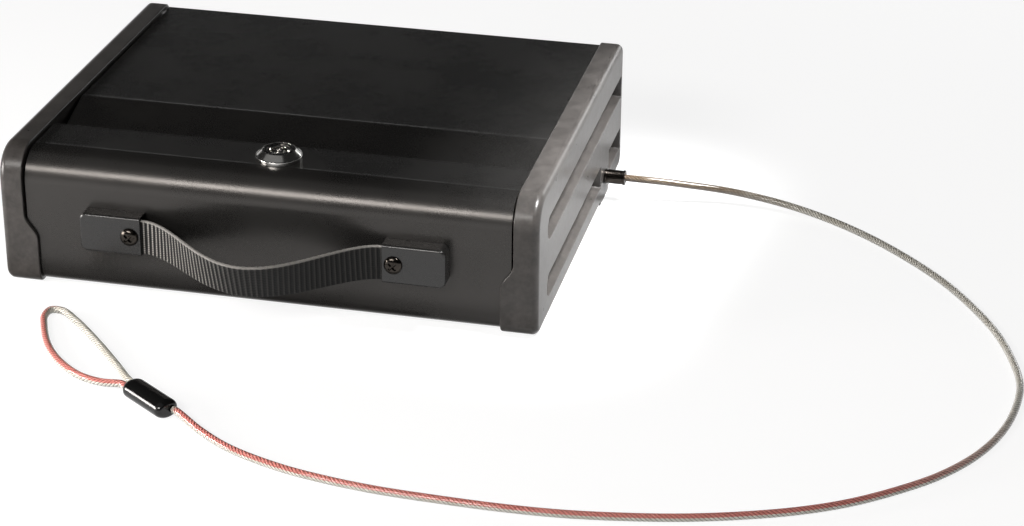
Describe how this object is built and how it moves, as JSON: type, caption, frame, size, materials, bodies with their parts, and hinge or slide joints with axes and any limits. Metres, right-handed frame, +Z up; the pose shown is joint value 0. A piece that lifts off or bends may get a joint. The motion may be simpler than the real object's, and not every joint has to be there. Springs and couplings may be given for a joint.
{
  "type": "portable car safe",
  "caption": "Low steel lock box between moulded end caps, with a rear-hinged lid, a tubular cam lock, a webbing carrying strap and a looped steel tether cable",
  "frame": {"origin": "on the resting plane under the middle of the safe, strap included and tether left out", "axes": "+X across the safe to the right as seen from the front, +Y from the front to the hinge, +Z up"},
  "size_m": [0.5468, 0.412, 0.0808],
  "materials": {
    "body_paint": "satin black powder coat",
    "cap_plastic": "smooth charcoal moulded plastic with a soft gloss",
    "zinc_steel": "bright zinc plated steel",
    "lock_chrome": "polished chrome",
    "lock_casting": "dark nickelled zinc casting",
    "black_chrome": "polished black nickel plate",
    "cover_plastic": "glossy black moulded plastic",
    "webbing": "ribbed black polyester webbing",
    "liner_foam": "dark closed-cell foam",
    "cable_steel": "braided steel under a clear coat",
    "ferrule_sleeve": "glossy black sleeve over the crimp"
  },
  "bodies": {
    "body": {"body_shell": "body_paint", "side_wall_left": "body_paint", "side_wall_right": "body_paint", "left_end_cap": "cap_plastic", "right_end_cap": "cap_plastic", "cap_screw_left_1": "zinc_steel", "cap_screw_left_2": "zinc_steel", "cap_screw_left_3": "zinc_steel", "cap_screw_left_4": "zinc_steel", "cap_screw_right_1": "zinc_steel", "cap_screw_right_2": "zinc_steel", "cap_screw_right_3": "zinc_steel", "cap_screw_right_4": "zinc_steel", "hinge_body_leaf": "body_paint", "hinge_pin": "zinc_steel", "liner_pad": "liner_foam", "lock_collar": "lock_chrome", "lock_housing": "lock_casting", "lock_nut": "zinc_steel", "handle_cover_left": "cover_plastic", "handle_cover_right": "cover_plastic", "strap": "webbing", "handle_screw_left": "black_chrome", "handle_screw_right": "black_chrome", "handle_nut_left": "zinc_steel", "handle_nut_right": "zinc_steel", "gland_sleeve": "black_chrome", "gland_nut": "zinc_steel", "cable_stop": "zinc_steel", "cable": "cable_steel", "cable_loop": "cable_steel", "crimp_ferrule": "ferrule_sleeve"},
    "lid": {"lid_panel": "body_paint", "lid_catch": "body_paint", "hinge_lid_leaf": "body_paint"},
    "lock": {"lock_plug": "lock_chrome", "lock_cam": "zinc_steel", "cam_screw": "zinc_steel"}
  },
  "joints": [
    {"name": "lid_hinge", "type": "hinge", "parent": "body", "child": "lid", "pos_m": [0, 0.13607, 0.0712], "axis": [-1, 0, 0], "range_deg": [0, 100]},
    {"name": "lock_turn", "type": "hinge", "parent": "body", "child": "lock", "pos_m": [0, -0.06733, 0.06], "axis": [0, 0, 1], "range_deg": [0, 90]}
  ]
}
